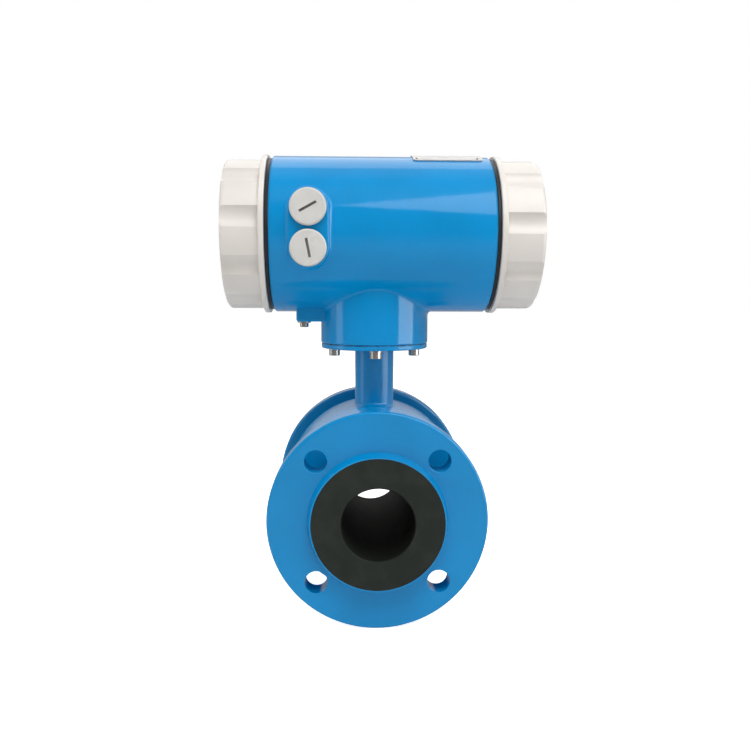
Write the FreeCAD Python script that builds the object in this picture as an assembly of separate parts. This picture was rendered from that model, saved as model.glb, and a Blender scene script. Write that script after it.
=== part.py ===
"""Electromagnetic flow meter for a DN 65 pipe, with a two-cover converter on a stem.

Millimetres. The origin is the middle of the flow bore, Y is the flow axis, Z is up,
and the converter housing lies along X with its terminal side at -X and its display
side at +X.
"""
import FreeCAD, Part
import math
import os

V = FreeCAD.Vector
ORIGIN = V(0, 0, 0)
ALONG_X, ALONG_Y, UP = V(1, 0, 0), V(0, 1, 0), V(0, 0, 1)

# Pipe run: flanges, tube and liner, all about the flow axis
FACE_TO_FACE = 200.0
FLANGE_RADIUS = 92.5
FLANGE_THICKNESS = 20.0
FLANGE_EDGE_ROUND = 2.5
BOLT_CIRCLE_RADIUS = 72.5
BOLT_HOLE_RADIUS = 9.5
BOLT_HOLE_ROUND = 0.4
RAISED_HEIGHT = 10.0
RAISED_BASE_RADIUS = 58.9
RAISED_TOP_RADIUS = 56.5
FLANGE_WELD = 5.0
FLOW_BORE_RADIUS = 30.35
LINER_WALL = 4.65
TUBE_WALL = 3.0
FLARE_RADIUS = 55.5
FLARE_THICKNESS = 4.0
FLARE_LIP_ROUND = 1.5

# Coil housing: a drum round the tube, set a little above the flow axis
DRUM_RADIUS = 82.2
DRUM_HALF_LENGTH = 42.0
DRUM_LIFT = 4.7
DRUM_WALL = 3.0
END_PLATE_THICKNESS = 4.0
END_PLATE_ROUND = 2.0

# Magnet circuit inside the drum
SHOE_THICKNESS = 3.0
SHOE_HALF_LENGTH = 20.0
SHOE_HALF_ANGLE = 38.0
CORE_RADIUS = 9.0
COIL_RADIUS = 24.0
COIL_HEIGHT = 13.0
COIL_CHEEK = 1.5
YOKE_RADIUS = 66.0
YOKE_THICKNESS = 3.5
YOKE_HALF_LENGTH = 14.0

# Electrodes, one on each side of the liner
ELECTRODE_HEAD_RADIUS = 5.0
ELECTRODE_HEAD_THICKNESS = 2.0
ELECTRODE_RECESS = 0.05
ELECTRODE_SHANK_RADIUS = 2.0
ELECTRODE_REACH = 22.0
INSULATOR_RADIUS = 5.0
INSULATOR_COLLAR_RADIUS = 8.0
INSULATOR_COLLAR = 5.0
ELECTRODE_NUT_FLATS = 7.0
ELECTRODE_NUT_HEIGHT = 3.2

# Stem and the plate that carries the converter
STEM_RADIUS = 17.65
STEM_WALL = 3.0
STEM_WELD = 3.0
PLATE_RADIUS = 48.3
PLATE_BOTTOM = 138.8
PLATE_THICKNESS = 3.8
PLATE_EDGE_ROUND = 1.0
NECK_GASKET = 0.8
GROMMET_RADIUS = 12.0
GROMMET_LIP = 3.0
GROMMET_RISE = 2.5
GASKET_INSET = 0.3
THROAT_RADIUS = 28.3
LEAD_RADIUS = 3.5
LEAD_TAIL = 22.9
SCREW_CIRCLE_RADIUS = 36.6
SCREW_RADIUS = 3.0
SCREW_HEAD_RADIUS = 5.0
SCREW_HEAD_HEIGHT = 6.0
SCREW_SOCKET_FLATS = 5.0
SCREW_SOCKET_DEPTH = 3.0
SCREW_HOLE_SLACK = 0.3
SCREW_HEAD_ROUND = 0.6
SPRING_WASHER_RADIUS = 5.6
SPRING_WASHER = 1.6
SPRING_WASHER_SPLIT = 1.0
SCREW_GRIP = 10.0

# Converter housing: body along X on an upright turret
BODY_RADIUS = 69.0
BODY_LEFT = -90.3
BODY_RIGHT = 100.2
BODY_CHAMFER = 1.5
TURRET_RADIUS = 48.8
TURRET_EDGE_ROUND = 1.4
TURRET_RISE = 97.2
TURRET_BLEND = 3.0
TURRET_FLOOR = 12.0
TURRET_WALL = 6.0
TURRET_ROOM_RISE = 4.0
NECK_STEP = 9.0
NECK_WALL = 4.5
NECK_LENGTH = 14.0
PARTITION_LEFT = -18.0
PARTITION_THICKNESS = 6.0
LEAD_PASSAGE_RADIUS = 10.0

# Cable entries on a boss on the front of the body
BOSS_X = -57.1
BOSS_RISE = 1.7
BOSS_WIDTH = 34.0
BOSS_STAND = 4.0
BOSS_ROOT = 12.0
BOSS_ROUND = 1.5
BOSS_BLEND = 3.0
ENTRY_SPACING = 33.1
ENTRY_RADIUS = 10.0
PLUG_HEAD_RADIUS = 15.2
PLUG_HEAD = 4.0
PLUG_BEVEL = 1.2
PLUG_TIP_BEVEL = 1.0
PLUG_WASHER = 1.0
PLUG_WASHER_INSET = 0.6
PLUG_WASHER_SLACK = 0.2
PLUG_SHANK = 13.0
PLUG_SLOT_LENGTH = 15.8
PLUG_SLOT_WIDTH = 2.2
PLUG_SLOT_DEPTH = 2.0
PLUG_SLOT_TURNS = {"upper": 29.0, "lower": 101.0}
THREAD_CLEARANCE = 0.08

# Outside earth terminal
LUG_LEFT, LUG_RIGHT = -70.4, -38.0
LUG_FRONT, LUG_BACK = -20.0, -4.0
LUG_DROP = 8.6
LUG_ROOT = 4.0
LUG_ROUND = 2.0
EARTH_PLACE = V(-63.7, -12.0, 0)
EARTH_WASHER_RADIUS = 6.0
EARTH_WASHER = 1.2
EARTH_HEAD_RADIUS = 4.0
EARTH_HEAD = 4.0
EARTH_HEAD_ROUND = 1.0
EARTH_CROSS_WIDTH = 1.0
EARTH_CROSS_DEPTH = 2.0
EARTH_SHANK_RADIUS = 2.5
EARTH_SHANK = 9.0

# Covers and their seals
SEAL_WIDTH = 3.6
SEAL_STEP = 2.0
SEAL_ROUND = 1.0
SEAL_SLACK = 0.3
COLLAR_STEP = 1.0
COLLAR_WIDTH = 4.8
COLLAR_ROUND = 1.0
GRIP_STEP = 3.0
COVER_LEFT_DEPTH = 40.8
COVER_RIGHT_DEPTH = 42.0
COVER_END_ROUND = 4.0
COVER_END_WALL = 5.0
COVER_THREAD_RUNOUT = 3.0
COVER_ROOM_STEP = 1.5
COVER_ROOM_TAPER = 2.0
LOBES = 10
GROOVE_ANGLE = 15.6
GROOVE_DEPTH = 3.8
GROOVE_TURN = {"left": 10.0, "right": 6.0}
COVER_DISH_INSET = 16.0
COVER_DISH_DEPTH = 1.5

# Window in the display cover
WINDOW_FRAME = 23.0
WINDOW_BEVEL = 2.0
GLASS_SLACK = 0.3
GLASS_THICKNESS = 6.0
WINDOW_GASKET = 1.0
GASKET_STEP = 0.5
WINDOW_RING = 4.5
WINDOW_RING_STEP = 3.0
RING_NOTCH = 4.0
RING_NOTCH_DEPTH = 2.0

# Electronics behind the window
BOARD_THICKNESS = 1.6
BOARD_INSET = 17.5
BOARD_CORNER = 12.0
POWER_BOARD_X = 22.0
MAIN_BOARD_X = 58.0
PANEL_X = 86.0
PANEL_THICKNESS = 2.5
PANEL_INSET = 4.0
PANEL_SCREW_RADIUS = 2.8
PANEL_SCREW_HEAD = 1.8
PANEL_SCREW_ROUND = 0.8
PILLAR_INSET = 9.0
PILLAR_FLATS = 6.0
SCREEN_INSET = 4.0
SCREEN_HEIGHT = 32.0
SCREEN_DEPTH = 5.0
SCREEN_RISE = 12.0
SCREEN_MARGIN = 5.0
SCREEN_STAND = 1.0
GLASS_INSET = 1.0
KEY_COUNT = 4
KEY_INSET = 8.0
KEY_RISE = 7.0
KEY_SHARE = 0.3
KEY_ROUND = 0.8
KEY_STAND = 3.0
KEY_RIM = 1.1
KEY_RIM_THICKNESS = 1.5
KEY_SLACK = 0.25

# Parts soldered to the boards: depth, width and height, and the place of the middle
TRANSFORMER = (20.0, 28.0, 26.0)
TRANSFORMER_PLACE = (-8.0, 9.0)
POWER_SOCKET = (8.0, 40.0, 8.0)
POWER_SOCKET_PLACE = (0.0, -22.0)
LEAD_SOCKET = (9.0, 24.0, 10.0)
LEAD_SOCKET_PLACE = (0.0, -27.0)
CAPACITOR_RADIUS = 6.0
CAPACITOR_LENGTH = 16.0
CAPACITOR_PLACES = ((18.0, 8.0), (18.0, -8.0))
PROCESSOR = (1.6, 20.0, 20.0)
PROCESSOR_PLACE = (0.0, 0.0)
SMALL_CHIP = (1.6, 12.0, 10.0)
SMALL_CHIP_PLACE = (22.0, 7.0)
SCREENING_CAN = (5.0, 16.0, 16.0)
SCREENING_CAN_PLACE = (-22.0, 16.0)
RIBBON_SOCKET = (9.0, 28.0, 7.0)
RIBBON_SOCKET_PLACE = (0.0, -28.5)

# Terminal block in the cable room
TERMINAL_COUNT = 8
TERMINAL_PITCH = 8.5
TERMINAL_DEPTH = 15.0
TERMINAL_HEIGHT = 22.0
TERMINAL_SCREW_RADIUS = 2.4
TERMINAL_SCREW_RISE = 3.0
TERMINAL_SCREW_SINK = 1.0
TERMINAL_SLOT_WIDTH = 0.8
TERMINAL_WELL_DEPTH = 4.0
TERMINAL_WELL_SLACK = 0.5
TERMINAL_STEP_DEPTH = 5.0
TERMINAL_STEP_HEIGHT = 8.0
TERMINAL_DROP = 4.0
TONGUE_HEIGHT = 7.0
TONGUE_INSET = 4.0

# Nameplate on top of the body, left bare
NAMEPLATE_LEFT, NAMEPLATE_RIGHT = 32.0, 92.5
NAMEPLATE_HALF_ANGLE = 27.0
NAMEPLATE_LIFT = 0.2
NAMEPLATE_THICKNESS = 1.0
NAMEPLATE_CORNER = 3.0
RIVET_INSET = 4.0
RIVET_RADIUS = 1.7
RIVET_HEIGHT = 0.9
RIVET_DOME = 0.7
RIVET_SHANK_RADIUS = 0.8
RIVET_GRIP = 3.0

# Values worked out from the ones above
HALF_RUN = FACE_TO_FACE / 2
FLANGE_FACE = HALF_RUN - RAISED_HEIGHT
FLANGE_BACK = FLANGE_FACE - FLANGE_THICKNESS
TUBE_HALF_LENGTH = HALF_RUN - FLARE_THICKNESS
LINER_RADIUS = FLOW_BORE_RADIUS + LINER_WALL
TUBE_RADIUS = LINER_RADIUS + TUBE_WALL
SHOE_RADIUS = TUBE_RADIUS + SHOE_THICKNESS
YOKE_INNER_RADIUS = YOKE_RADIUS - YOKE_THICKNESS
DRUM_CENTRE = V(0, 0, DRUM_LIFT)
TURRET_BOTTOM = PLATE_BOTTOM + PLATE_THICKNESS + NECK_GASKET
BODY_HEIGHT = TURRET_BOTTOM + TURRET_RISE
BODY_CENTRE = V(0, 0, BODY_HEIGHT)
NECK_RADIUS = BODY_RADIUS - NECK_STEP
ROOM_RADIUS = NECK_RADIUS - NECK_WALL
BOSS_Z = BODY_HEIGHT + BOSS_RISE
BOSS_FACE = BODY_RADIUS + BOSS_STAND
BOSS_START = ROOM_RADIUS - BOSS_ROOT
LUG_BOTTOM = BODY_HEIGHT - BODY_RADIUS - LUG_DROP
SEAL_RADIUS = BODY_RADIUS - SEAL_STEP
COLLAR_RADIUS = BODY_RADIUS + COLLAR_STEP
GRIP_RADIUS = BODY_RADIUS - GRIP_STEP
COVER_THREAD_LENGTH = NECK_LENGTH + COVER_THREAD_RUNOUT
COVER_ROOM_RADIUS = ROOM_RADIUS - COVER_ROOM_STEP
COVER_DISH_RADIUS = GRIP_RADIUS - COVER_DISH_INSET
WINDOW_RADIUS = GRIP_RADIUS - WINDOW_FRAME
GLASS_RADIUS = COVER_ROOM_RADIUS - GLASS_SLACK
WINDOW_RING_RADIUS = WINDOW_RADIUS + WINDOW_RING_STEP
PARTITION_RIGHT = PARTITION_LEFT + PARTITION_THICKNESS
BOARD_HALF_SIDE = ROOM_RADIUS - BOARD_INSET
PANEL_RADIUS = ROOM_RADIUS - PANEL_INSET
PANEL_FACE = PANEL_X + PANEL_THICKNESS
PILLAR_SPREAD = BOARD_HALF_SIDE - PILLAR_INSET
SCREEN_WIDTH = 2 * (PILLAR_SPREAD - SCREEN_INSET)
KEY_PITCH = 2 * (PILLAR_SPREAD - KEY_INSET) / (KEY_COUNT - 1)
KEY_DROP = PILLAR_SPREAD - KEY_RISE
KEY_RADIUS = KEY_SHARE * KEY_PITCH
TERMINAL_FRONT = PARTITION_LEFT - TERMINAL_DEPTH
TERMINAL_MIDDLE = BODY_HEIGHT - TERMINAL_DROP
TERMINAL_HALF = TERMINAL_COUNT * TERMINAL_PITCH / 2
NAMEPLATE_SURFACE = BODY_RADIUS + NAMEPLATE_LIFT + NAMEPLATE_THICKNESS


def disc(radius, start, end, axis, centre=ORIGIN):
    """A plain cylinder between two stations on an axis."""
    return Part.makeCylinder(radius, end - start, centre + axis * start, axis)


def ring(outer, inner, start, end, axis, centre=ORIGIN):
    """A plain tube between two stations on an axis."""
    return disc(outer, start, end, axis, centre).cut(disc(inner, start, end, axis, centre))


def block(x, y, z):
    """A box from three (low, high) pairs."""
    size = [high - low for low, high in (x, y, z)]
    return Part.makeBox(*size, V(x[0], y[0], z[0]))


def turned(profile, axis, centre=ORIGIN):
    """A solid of revolution; the profile is a closed run of (station, radius) pairs."""
    side = ALONG_X if abs(axis.dot(UP)) > 0.5 else UP
    points = [centre + axis * station + side * radius for station, radius in profile]
    solid = Part.Face(Part.makePolygon(points + points[:1])).revolve(centre, axis, 360)
    if solid.Volume < 0:
        solid.reverse()
    return solid


def rims(shape, radius, axis, station, centre=ORIGIN):
    """The circular edges of a given radius whose plane lies at a station on an axis."""
    found = []
    for edge in shape.Edges:
        if not isinstance(edge.Curve, Part.Circle) or abs(edge.Curve.Radius - radius) > 0.01:
            continue
        if abs((edge.Curve.Center - centre).dot(axis) - station) < 0.01:
            found.append(edge)
    return found


def hexagon(flats, start, end, axis, centre=ORIGIN):
    """A hexagonal prism, by its width across flats, between two stations on an axis."""
    side = (ALONG_X if abs(axis.dot(UP)) > 0.5 else UP) * (flats / math.sqrt(3))
    spin = FreeCAD.Rotation(axis, 60)
    points = [side]
    for _ in range(5):
        points.append(spin.multVec(points[-1]))
    points = [centre + axis * start + point for point in points]
    return Part.Face(Part.makePolygon(points + points[:1])).extrude(axis * (end - start))


def around(shape, count, axis, centre=ORIGIN, first=0.0):
    """Copies of a shape turned evenly about an axis."""
    copies = []
    for index in range(count):
        copy = shape.copy()
        copy.rotate(centre, axis, first + index * 360 / count)
        copies.append(copy)
    return copies


def measuring_tube():
    """The steel tube, with a hole on each side for an electrode."""
    tube = ring(TUBE_RADIUS, LINER_RADIUS, -TUBE_HALF_LENGTH, TUBE_HALF_LENGTH, ALONG_Y)
    return tube.cut(disc(INSULATOR_RADIUS, -TUBE_RADIUS, TUBE_RADIUS, ALONG_X))


def flange(outward):
    """A flange with a conical raised face, recessed for the liner's flare."""
    recess = HALF_RUN - FLARE_THICKNESS
    plate = turned([
        (FLANGE_BACK - FLANGE_WELD, TUBE_RADIUS),
        (FLANGE_BACK, TUBE_RADIUS + FLANGE_WELD),
        (FLANGE_BACK, FLANGE_RADIUS),
        (FLANGE_FACE, FLANGE_RADIUS),
        (FLANGE_FACE, RAISED_BASE_RADIUS),
        (HALF_RUN, RAISED_TOP_RADIUS),
        (HALF_RUN, FLARE_RADIUS),
        (recess, FLARE_RADIUS),
        (recess, TUBE_RADIUS),
    ], outward)
    edge = rims(plate, FLANGE_RADIUS, outward, FLANGE_BACK)
    edge += rims(plate, FLANGE_RADIUS, outward, FLANGE_FACE)
    plate = plate.makeFillet(FLANGE_EDGE_ROUND, edge)
    hole = disc(BOLT_HOLE_RADIUS, FLANGE_BACK - 1, FLANGE_FACE + 1, outward,
                ALONG_X * BOLT_CIRCLE_RADIUS)
    plate = plate.cut(Part.makeCompound(around(hole, 4, ALONG_Y, first=45)))
    mouths = [edge for edge in plate.Edges if isinstance(edge.Curve, Part.Circle)
              and abs(edge.Curve.Radius - BOLT_HOLE_RADIUS) < 0.01]
    return plate.makeFillet(BOLT_HOLE_ROUND, mouths)


def liner():
    """The rubber liner, flared over both sealing faces and open at the electrodes."""
    recess = HALF_RUN - FLARE_THICKNESS
    body = turned([
        (-HALF_RUN, FLOW_BORE_RADIUS),
        (-HALF_RUN, FLARE_RADIUS),
        (-recess, FLARE_RADIUS),
        (-recess, LINER_RADIUS),
        (recess, LINER_RADIUS),
        (recess, FLARE_RADIUS),
        (HALF_RUN, FLARE_RADIUS),
        (HALF_RUN, FLOW_BORE_RADIUS),
    ], ALONG_Y)
    lips = rims(body, FLOW_BORE_RADIUS, ALONG_Y, -HALF_RUN)
    lips += rims(body, FLOW_BORE_RADIUS, ALONG_Y, HALF_RUN)
    body = body.makeFillet(FLARE_LIP_ROUND, lips)
    return body.cut(disc(ELECTRODE_HEAD_RADIUS, -LINER_RADIUS, LINER_RADIUS, ALONG_X))


def drum_shell():
    """The coil housing's rolled shell, open under the stem."""
    length = DRUM_HALF_LENGTH - END_PLATE_THICKNESS
    shell = ring(DRUM_RADIUS, DRUM_RADIUS - DRUM_WALL, -length, length, ALONG_Y, DRUM_CENTRE)
    return shell.cut(disc(STEM_RADIUS - STEM_WALL, 0, PLATE_BOTTOM, UP))


def end_plate(outward):
    """An end plate of the coil housing, rounded at its weld to the shell."""
    start = DRUM_HALF_LENGTH - END_PLATE_THICKNESS
    plate = disc(DRUM_RADIUS, start, DRUM_HALF_LENGTH, outward, DRUM_CENTRE)
    edge = rims(plate, DRUM_RADIUS, outward, DRUM_HALF_LENGTH, DRUM_CENTRE)
    plate = plate.makeFillet(END_PLATE_ROUND, edge)
    return plate.cut(disc(TUBE_RADIUS, start, DRUM_HALF_LENGTH, outward))


def pole_shoe(outward):
    """A pole shoe bent to the tube, with the core that carries the coil."""
    length = (-SHOE_HALF_LENGTH, SHOE_HALF_LENGTH)
    saddle = ring(SHOE_RADIUS, TUBE_RADIUS, *length, ALONG_Y)
    reach = SHOE_RADIUS * math.tan(math.radians(SHOE_HALF_ANGLE))
    corners = [ORIGIN, V(-reach, 0, SHOE_RADIUS), V(reach, 0, SHOE_RADIUS), ORIGIN]
    wedge = Part.Face(Part.makePolygon(corners)).extrude(ALONG_Y * (2 * SHOE_HALF_LENGTH))
    wedge.translate(V(0, -SHOE_HALF_LENGTH, 0))
    if outward.z < 0:
        wedge.rotate(ORIGIN, ALONG_Y, 180)
    core = disc(CORE_RADIUS, 0, YOKE_RADIUS, outward)
    core = core.common(ring(YOKE_INNER_RADIUS, TUBE_RADIUS, *length, ALONG_Y))
    return saddle.common(wedge).fuse(core).removeSplitter()


def coil(outward):
    """A wound coil round a pole core, between two bobbin cheeks."""
    low = SHOE_RADIUS
    high = low + COIL_HEIGHT
    wound = COIL_RADIUS - COIL_CHEEK
    return turned([
        (low, CORE_RADIUS), (low, COIL_RADIUS), (low + COIL_CHEEK, COIL_RADIUS),
        (low + COIL_CHEEK, wound), (high - COIL_CHEEK, wound),
        (high - COIL_CHEEK, COIL_RADIUS), (high, COIL_RADIUS), (high, CORE_RADIUS),
    ], outward)


def yoke():
    """The iron band that joins the two cores outside the coils."""
    return ring(YOKE_RADIUS, YOKE_INNER_RADIUS, -YOKE_HALF_LENGTH, YOKE_HALF_LENGTH, ALONG_Y)


def electrode(outward):
    """A button electrode, flush with the liner, with its threaded shank."""
    head = FLOW_BORE_RADIUS + ELECTRODE_HEAD_THICKNESS
    button = disc(ELECTRODE_HEAD_RADIUS, FLOW_BORE_RADIUS + ELECTRODE_RECESS, head, outward)
    return button.fuse(disc(ELECTRODE_SHANK_RADIUS, head, head + ELECTRODE_REACH, outward))


def insulator(outward):
    """The bush that keeps an electrode clear of the tube."""
    low = FLOW_BORE_RADIUS + ELECTRODE_HEAD_THICKNESS
    return turned([
        (low, ELECTRODE_SHANK_RADIUS),
        (low, INSULATOR_RADIUS),
        (TUBE_RADIUS, INSULATOR_RADIUS),
        (TUBE_RADIUS, INSULATOR_COLLAR_RADIUS),
        (TUBE_RADIUS + INSULATOR_COLLAR, INSULATOR_COLLAR_RADIUS),
        (TUBE_RADIUS + INSULATOR_COLLAR, ELECTRODE_SHANK_RADIUS),
    ], outward)


def electrode_nut(outward):
    """The nut that pulls an electrode against the liner."""
    low = TUBE_RADIUS + INSULATOR_COLLAR
    nut = hexagon(ELECTRODE_NUT_FLATS, low, low + ELECTRODE_NUT_HEIGHT, outward)
    return nut.cut(disc(ELECTRODE_SHANK_RADIUS, low, low + ELECTRODE_NUT_HEIGHT, outward))


def stem():
    """The stem pipe, cut to the drum and joined to it by a fillet weld."""
    drum = disc(DRUM_RADIUS, -DRUM_HALF_LENGTH, DRUM_HALF_LENGTH, ALONG_Y, DRUM_CENTRE)
    rod = disc(STEM_RADIUS, DRUM_LIFT, PLATE_BOTTOM, UP)
    joined = drum.fuse(rod)
    seam = [edge for edge in joined.Edges if edge.BoundBox.ZMin > DRUM_RADIUS
            and edge.BoundBox.ZMax < PLATE_BOTTOM - 1
            and edge.BoundBox.YLength < 3 * STEM_RADIUS
            and not isinstance(edge.Curve, (Part.Line, Part.Circle))]
    weld = joined.makeFillet(STEM_WELD, seam).cut(drum).cut(rod)
    pipe = ring(STEM_RADIUS, STEM_RADIUS - STEM_WALL, DRUM_LIFT, PLATE_BOTTOM, UP).cut(drum)
    return pipe.fuse(weld).removeSplitter()


def screw_holes(low, high, radius):
    """Cutters for the four converter screws."""
    hole = disc(radius, low, high, UP, ALONG_X * SCREW_CIRCLE_RADIUS)
    return Part.makeCompound(around(hole, 4, UP))


def adapter_plate():
    """The round plate welded on the stem that the converter is screwed to."""
    top = PLATE_BOTTOM + PLATE_THICKNESS
    plate = disc(PLATE_RADIUS, PLATE_BOTTOM, top, UP)
    plate = plate.makeFillet(PLATE_EDGE_ROUND, rims(plate, PLATE_RADIUS, UP, PLATE_BOTTOM))
    plate = plate.cut(disc(GROMMET_RADIUS, PLATE_BOTTOM, top, UP))
    return plate.cut(screw_holes(PLATE_BOTTOM, top, SCREW_RADIUS + SCREW_HOLE_SLACK))


def neck_gasket():
    """The flat gasket between the plate and the turret."""
    low = PLATE_BOTTOM + PLATE_THICKNESS
    sheet = ring(PLATE_RADIUS - GASKET_INSET, THROAT_RADIUS, low, TURRET_BOTTOM, UP)
    return sheet.cut(screw_holes(low, TURRET_BOTTOM, SCREW_RADIUS + SCREW_HOLE_SLACK))


def grommet():
    """The rubber grommet that holds the leads in the plate."""
    top = PLATE_BOTTOM + PLATE_THICKNESS
    return turned([
        (PLATE_BOTTOM, LEAD_RADIUS),
        (PLATE_BOTTOM, GROMMET_RADIUS),
        (top, GROMMET_RADIUS),
        (top, GROMMET_RADIUS + GROMMET_LIP),
        (top + GROMMET_RISE, GROMMET_RADIUS + GROMMET_LIP / 3),
        (top + GROMMET_RISE, LEAD_RADIUS),
    ], UP)


def plate_screws():
    """Four socket-head screws, put in from below."""
    place = ALONG_X * SCREW_CIRCLE_RADIUS
    high = PLATE_BOTTOM - SPRING_WASHER
    low = high - SCREW_HEAD_HEIGHT
    head = disc(SCREW_HEAD_RADIUS, low, high, UP, place)
    head = head.makeFillet(SCREW_HEAD_ROUND, rims(head, SCREW_HEAD_RADIUS, UP, low))
    head = head.cut(hexagon(SCREW_SOCKET_FLATS, low, low + SCREW_SOCKET_DEPTH, UP, place))
    screw = head.fuse(disc(SCREW_RADIUS, high, TURRET_BOTTOM + SCREW_GRIP, UP, place))
    return around(screw, 4, UP)


def spring_washers():
    """Split spring washers between the screws' heads and the plate."""
    place = ALONG_X * SCREW_CIRCLE_RADIUS
    low = PLATE_BOTTOM - SPRING_WASHER
    washer = ring(SPRING_WASHER_RADIUS, SCREW_RADIUS, low, PLATE_BOTTOM, UP, place)
    split = block((SCREW_CIRCLE_RADIUS, SCREW_CIRCLE_RADIUS + SPRING_WASHER_RADIUS),
                  (-SPRING_WASHER_SPLIT / 2, SPRING_WASHER_SPLIT / 2), (low, PLATE_BOTTOM))
    return around(washer.cut(split), 4, UP)


def obround(x, z, width, height, front, back):
    """An upright obround prism that points forward, between two distances from the axis."""
    half, straight = width / 2, (height - width) / 2
    left, right, low, high = x - half, x + half, z - straight, z + straight
    edges = [
        Part.makeLine(V(left, -front, low), V(left, -front, high)),
        Part.Arc(V(left, -front, high), V(x, -front, high + half), V(right, -front, high)).toShape(),
        Part.makeLine(V(right, -front, high), V(right, -front, low)),
        Part.Arc(V(right, -front, low), V(x, -front, low - half), V(left, -front, low)).toShape(),
    ]
    return Part.Face(Part.Wire(edges)).extrude(ALONG_Y * (front - back))


def cable_boss():
    """The obround boss that carries both cable entries, rounded at its face."""
    height = BOSS_WIDTH + ENTRY_SPACING
    boss = obround(BOSS_X, BOSS_Z, BOSS_WIDTH, height, BOSS_FACE, BOSS_START)
    edges = [edge for edge in boss.Edges if edge.BoundBox.YMax < 0.1 - BOSS_FACE]
    return boss.makeFillet(BOSS_ROUND, edges)


def on_body(point):
    """Whether a point lies on the round body's surface."""
    return abs(math.hypot(point.y, point.z - BODY_HEIGHT) - BODY_RADIUS) < 0.05


def seam(casting, on_other):
    """The edges that lie on the body's surface and on another part of the casting."""
    found = []
    for edge in casting.Edges:
        first, last = edge.ParameterRange
        places = [edge.valueAt(first + (last - first) * share) for share in (0.2, 0.5, 0.8)]
        if all(on_body(point) and on_other(point) for point in places):
            found.append(edge)
    return found


def turret_seam(casting):
    """The saddle edge where the turret meets the body."""
    return seam(casting, lambda point: abs(math.hypot(point.x, point.y) - TURRET_RADIUS) < 0.05)


def boss_seam(casting):
    """The edge where the cable boss meets the body."""
    def on_boss(point):
        straight = ENTRY_SPACING / 2
        rise = max(0, abs(point.z - BOSS_Z) - straight)
        return point.y < 0 and abs(math.hypot(point.x - BOSS_X, rise) - BOSS_WIDTH / 2) < 0.05
    return seam(casting, on_boss)


def earth_lug():
    """The lug for the outside earth screw, under the body beside the turret."""
    lug = block((LUG_LEFT, LUG_RIGHT), (LUG_FRONT, LUG_BACK),
                (LUG_BOTTOM, BODY_HEIGHT - ROOM_RADIUS - LUG_ROOT))
    edges = [edge for edge in lug.Edges if edge.BoundBox.XMax < LUG_LEFT + 0.1
             or edge.BoundBox.ZMax < LUG_BOTTOM + 0.1]
    return lug.makeFillet(LUG_ROUND, edges)


def converter_outside():
    """The casting's outside: body, turret, cable boss, earth lug and threaded necks."""
    body = disc(BODY_RADIUS, BODY_LEFT, BODY_RIGHT, ALONG_X, BODY_CENTRE)
    ends = rims(body, BODY_RADIUS, ALONG_X, BODY_LEFT, BODY_CENTRE)
    ends += rims(body, BODY_RADIUS, ALONG_X, BODY_RIGHT, BODY_CENTRE)
    body = body.makeChamfer(BODY_CHAMFER, ends)
    turret = disc(TURRET_RADIUS, TURRET_BOTTOM, BODY_HEIGHT, UP)
    turret = turret.makeFillet(TURRET_EDGE_ROUND, rims(turret, TURRET_RADIUS, UP, TURRET_BOTTOM))
    casting = body.fuse(turret)
    casting = casting.makeFillet(TURRET_BLEND, turret_seam(casting))
    casting = casting.fuse(cable_boss())
    casting = casting.makeFillet(BOSS_BLEND, boss_seam(casting))
    neck = disc(NECK_RADIUS, BODY_LEFT - NECK_LENGTH, BODY_RIGHT + NECK_LENGTH, ALONG_X, BODY_CENTRE)
    return casting.fuse([neck, earth_lug()])


def converter_housing():
    """The converter's casting, with its two rooms, the partition and the turret's room."""
    casting = converter_outside()
    left_room = disc(ROOM_RADIUS, BODY_LEFT - NECK_LENGTH, PARTITION_LEFT, ALONG_X, BODY_CENTRE)
    right_room = disc(ROOM_RADIUS, PARTITION_RIGHT, BODY_RIGHT + NECK_LENGTH, ALONG_X, BODY_CENTRE)
    floor = TURRET_BOTTOM + TURRET_FLOOR
    throat = disc(THROAT_RADIUS, TURRET_BOTTOM, floor, UP)
    ceiling = BODY_HEIGHT - BODY_RADIUS + TURRET_ROOM_RISE
    turret_room = disc(TURRET_RADIUS - TURRET_WALL, floor, ceiling, UP)
    passage = disc(LEAD_PASSAGE_RADIUS, floor, BODY_HEIGHT - ROOM_RADIUS + NECK_WALL, UP)
    hollow = [left_room, right_room, throat, turret_room, passage, terminal_tongue()]
    hollow.append(screw_holes(TURRET_BOTTOM, TURRET_BOTTOM + SCREW_GRIP, SCREW_RADIUS))
    for name in PLUG_SLOT_TURNS:
        hollow.append(disc(ENTRY_RADIUS, BOSS_START, BOSS_FACE, -ALONG_Y, entry_centre(name)))
    hollow.append(disc(EARTH_SHANK_RADIUS, LUG_BOTTOM, LUG_BOTTOM + EARTH_SHANK, UP, EARTH_PLACE))
    return casting.cut(hollow + rivet_holes())


def entry_centre(name):
    """The point on the Y = 0 plane that an entry's axis passes through."""
    rise = ENTRY_SPACING / 2 if name == "upper" else -ENTRY_SPACING / 2
    return V(BOSS_X, 0, BOSS_Z + rise)


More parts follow.
